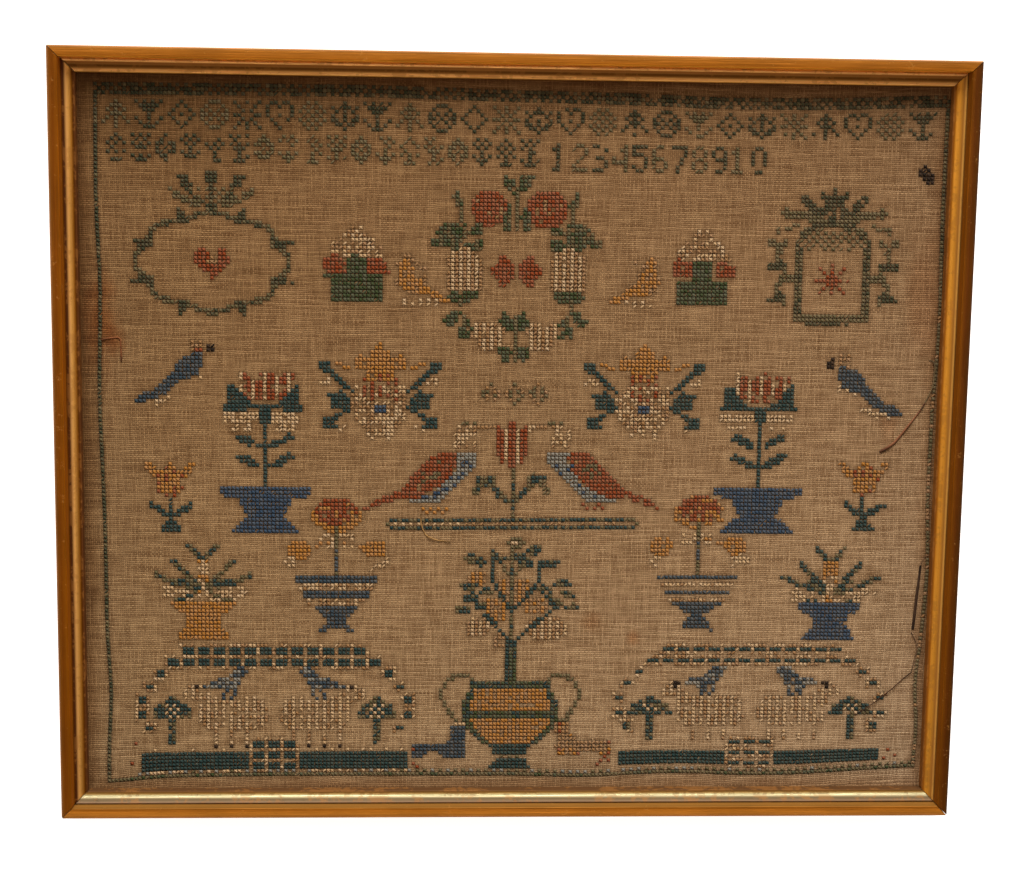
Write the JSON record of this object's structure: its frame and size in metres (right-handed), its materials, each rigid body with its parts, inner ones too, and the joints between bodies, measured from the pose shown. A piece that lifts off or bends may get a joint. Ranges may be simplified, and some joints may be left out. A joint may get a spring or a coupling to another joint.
{
  "type": "framed cross stitch sampler",
  "caption": "Flat rectangular sheet of embroidered linen held behind a thin mitred wooden frame with a gilt inner edge and a plain back board.",
  "frame": {"origin": "on the surface that the frame lies on, under the middle of its width and height", "axes": "+X along the frame's width, to the picture's right; +Y towards the picture's top; +Z out of the picture's face"},
  "size_m": [0.42, 0.3556, 0.018],
  "materials": {
    "wood": "satin, orange-brown, with a gilt inner scoop",
    "linen": "matt plain weave, aged brown",
    "thread": "matt stitched yarn in several colours",
    "board": "matt grey-brown board"
  },
  "bodies": {
    "root": {"rail_top": "wood", "rail_bottom": "wood", "rail_left": "wood", "rail_right": "wood", "sampler_cloth": "linen", "backing_board": "board"}
  },
  "joints": []
}
